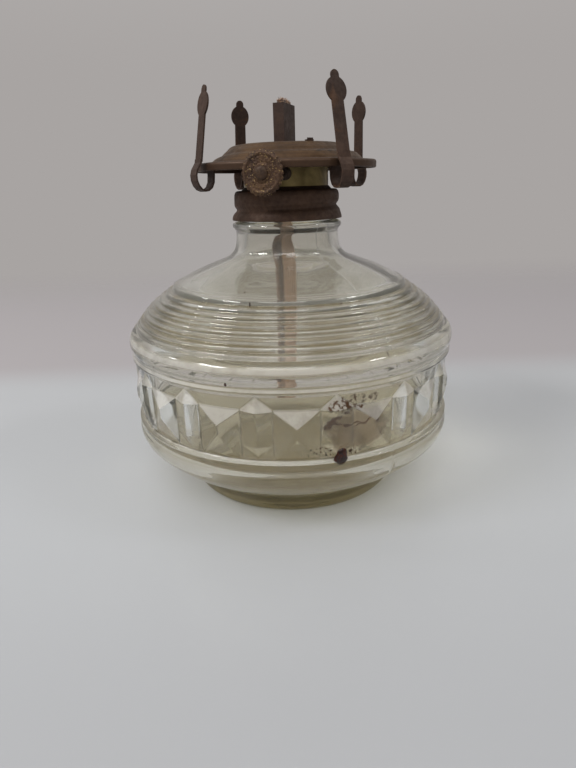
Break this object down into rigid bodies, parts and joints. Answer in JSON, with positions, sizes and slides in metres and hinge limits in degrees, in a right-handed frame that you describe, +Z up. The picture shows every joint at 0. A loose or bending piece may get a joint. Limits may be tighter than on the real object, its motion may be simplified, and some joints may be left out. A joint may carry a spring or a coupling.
{
  "type": "kerosene lamp",
  "caption": "Flat-wick oil lamp: ribbed, faceted clear glass font on a foot ring, screw-on rusty burner with gallery, chimney prongs, wick tube, wick and thumbwheel.",
  "frame": {"origin": "centre of the foot ring's resting plane", "axes": "+Z up along the font's and the screw neck's axis, -Y towards the viewer of the picture, +X to the right; the thumbwheel points 20.5 degrees to the left of -Y"},
  "size_m": [0.1478, 0.1478, 0.1719],
  "materials": {
    "clear_glass": "polished",
    "rusty_steel": "matte",
    "tarnished_brass": "matte",
    "olive_brass": "satin",
    "washer_rubber": "matte",
    "wick_cotton": "matte"
  },
  "bodies": {
    "font": {"glass_font": "clear_glass"},
    "washer": {"neck_washer": "washer_rubber"},
    "burner": {"screw_cap": "rusty_steel", "cap_solder_ring": "rusty_steel", "burner_can": "olive_brass", "can_floor": "olive_brass", "gallery_plate": "tarnished_brass", "air_plate": "tarnished_brass", "deflector_catch": "rusty_steel", "wick_tube": "rusty_steel", "near_bushing": "rusty_steel", "far_bushing": "rusty_steel", "prong_front_right": "rusty_steel", "prong_front_left": "rusty_steel", "prong_back_right": "rusty_steel", "prong_back_left": "rusty_steel", "prong_rivets": "rusty_steel"},
    "raiser": {"wick_spindle": "rusty_steel", "spur_wheel_near": "tarnished_brass", "spur_wheel_far": "tarnished_brass", "thumbwheel": "tarnished_brass", "thumbwheel_rivet": "tarnished_brass"},
    "wick": {"wick": "wick_cotton"}
  },
  "joints": [
    {"name": "neck_screw_lift", "type": "slide", "parent": "font", "child": "washer", "axis": [0, 0, 1], "range_m": [0, 0.005]},
    {"name": "burner_screw", "type": "hinge", "parent": "washer", "child": "burner", "pos_m": [0, 0, 0.125], "axis": [0, 0, 1], "range_deg": [0, 540]},
    {"name": "wick_raiser_turn", "type": "hinge", "parent": "burner", "child": "raiser", "pos_m": [0.00553, -0.00207, 0.1375], "axis": [-0.3502, -0.9367, 0], "range_deg": [-75, 120]},
    {"name": "wick_feed", "type": "slide", "parent": "burner", "child": "wick", "axis": [0, 0, 1], "range_m": [-0.0097, 0.0061]}
  ],
  "couplings": [
    {"joint": "neck_screw_lift", "follows": "burner_screw", "m_per_rad": 0.00052521},
    {"joint": "wick_feed", "follows": "wick_raiser_turn", "m_per_rad": -0.0046}
  ]
}
